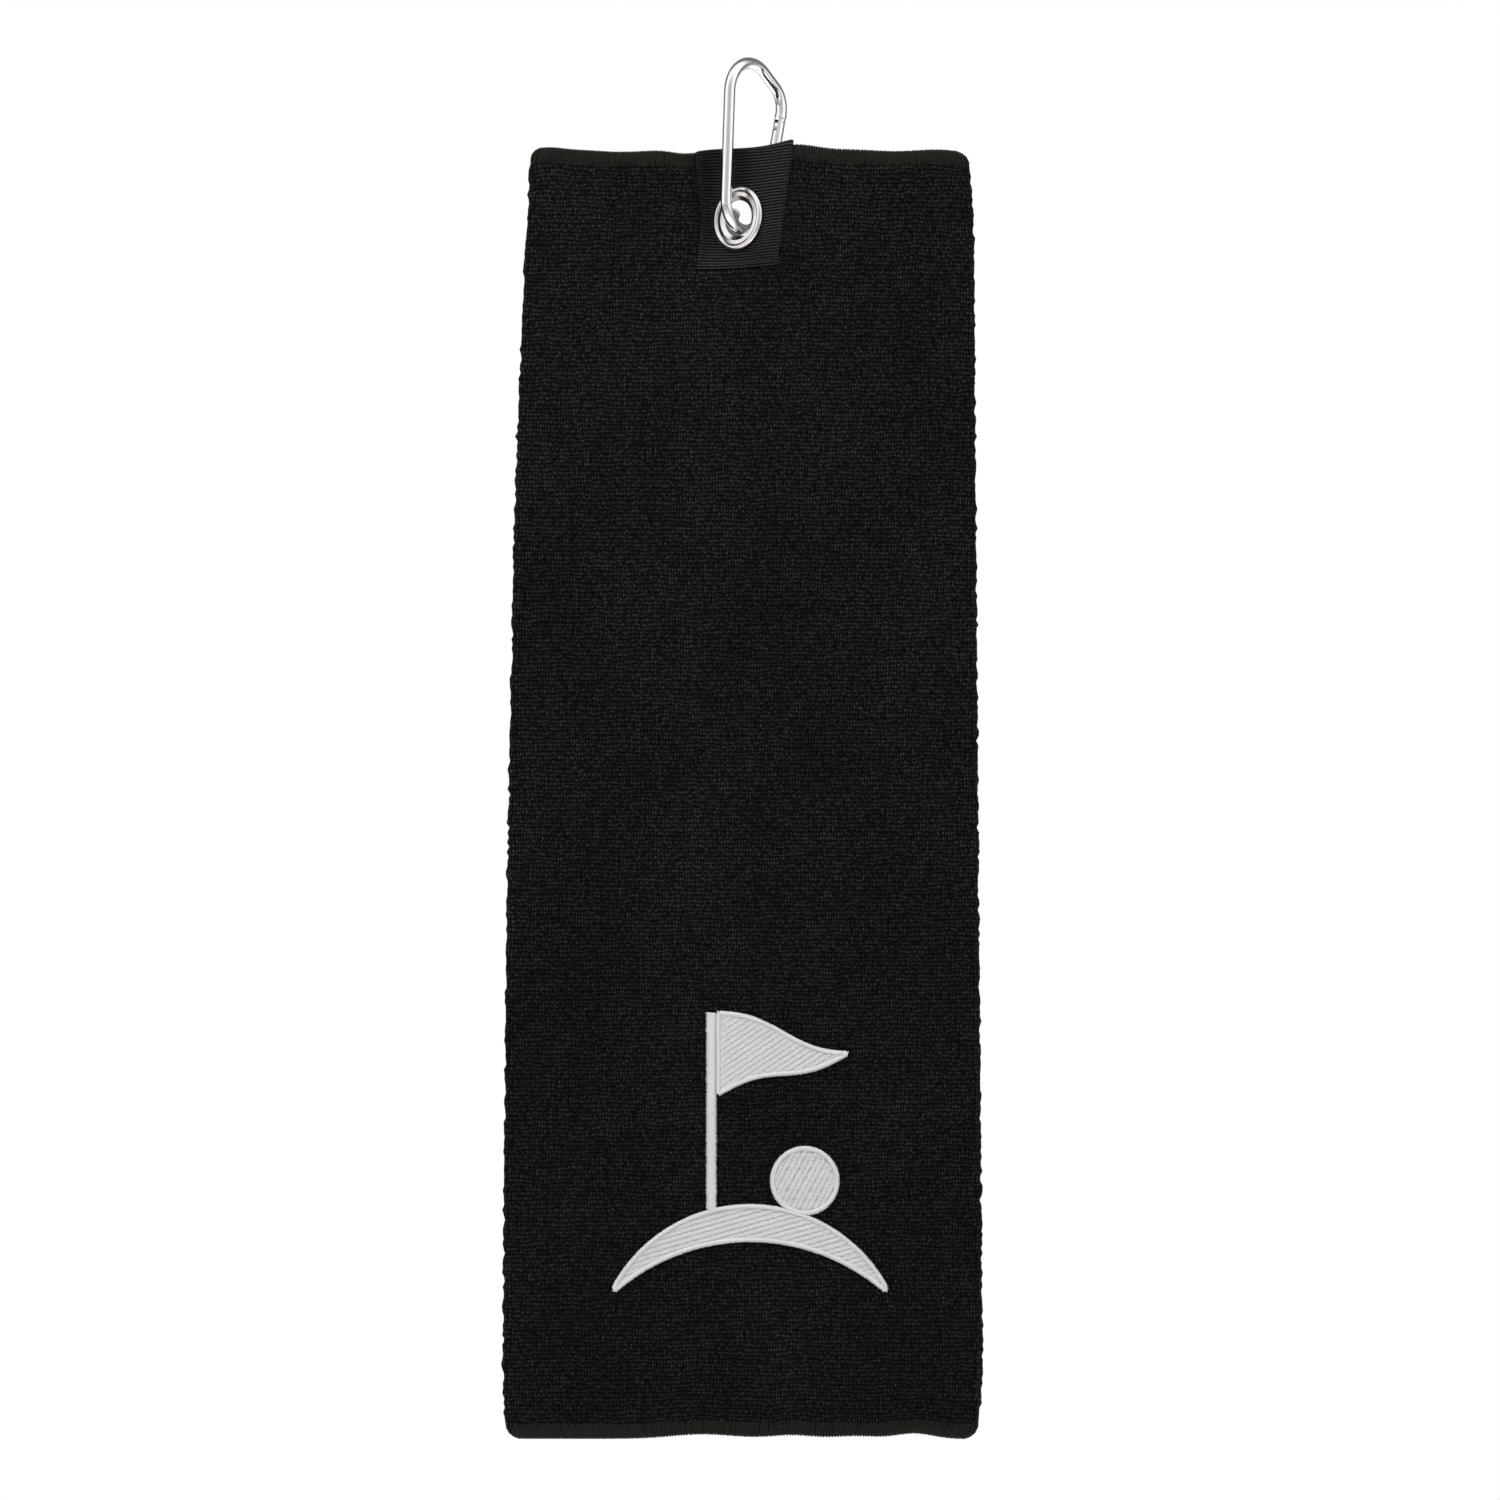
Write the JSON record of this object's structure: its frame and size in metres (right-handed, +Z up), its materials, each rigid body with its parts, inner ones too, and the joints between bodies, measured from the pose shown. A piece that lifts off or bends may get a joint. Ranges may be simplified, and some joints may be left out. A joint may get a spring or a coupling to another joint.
{
  "type": "golf towel",
  "caption": "Terry golf towel folded in three lengthwise, with a tape tab, eyelet and snap clip at the top and an embroidered flag motif near the bottom.",
  "frame": {"origin": "inside of the clip's top bend, where it rests on a hook or ring", "axes": "+Z up along the hanging towel; -Y out of the front of the towel; +X to the right seen from the front"},
  "size_m": [0.1497, 0.0242, 0.4287],
  "materials": {
    "terry": "looped terry pile, matt",
    "overlock_thread": "dense overlock stitches",
    "ribbed_tape": "ribbed woven tape",
    "sewing_thread": "twisted sewing thread",
    "embroidery_thread": "satin and filled stitches with a soft sheen",
    "backing": "non-woven cut-away backing",
    "eyelet_metal": "bright nickel plate",
    "clip_wire": "polished drawn wire",
    "rivet_steel": "plain turned steel",
    "plunger_brass": "turned brass",
    "spring_steel": "drawn spring wire"
  },
  "bodies": {
    "clip": {"carabiner_body": "clip_wire"},
    "gate": {"carabiner_gate": "clip_wire", "gate_hinge_rivet": "rivet_steel", "gate_latch_pin": "rivet_steel", "gate_plunger": "plunger_brass", "gate_spring": "spring_steel"},
    "towel": {"towel_cloth": "terry", "top_hem_overlock": "overlock_thread", "bottom_hem_overlock": "overlock_thread", "inner_flap_overlock": "overlock_thread", "outer_flap_overlock": "overlock_thread", "eyelet_tape": "ribbed_tape", "tape_stitching": "sewing_thread", "eyelet_barrel": "eyelet_metal", "eyelet_washer": "eyelet_metal", "embroidery_pole": "embroidery_thread", "embroidery_pennant": "embroidery_thread", "embroidery_hill": "embroidery_thread", "embroidery_ball": "embroidery_thread", "embroidery_backing": "backing"}
  },
  "joints": [
    {"name": "gate_turn", "type": "hinge", "parent": "clip", "child": "gate", "pos_m": [0.00519, 0.00772, -0.03885], "axis": [0.7656, -0.6428, -0.0254], "range_deg": [0, 18], "stiffness_Nm_per_rad": 0.02, "springref_deg": -22.92},
    {"name": "towel_swing", "type": "hinge", "parent": "clip", "child": "towel", "pos_m": [-0.00218, -0.00061, -0.05007], "axis": [0, 1, 0], "range_deg": [-20, 20]}
  ]
}
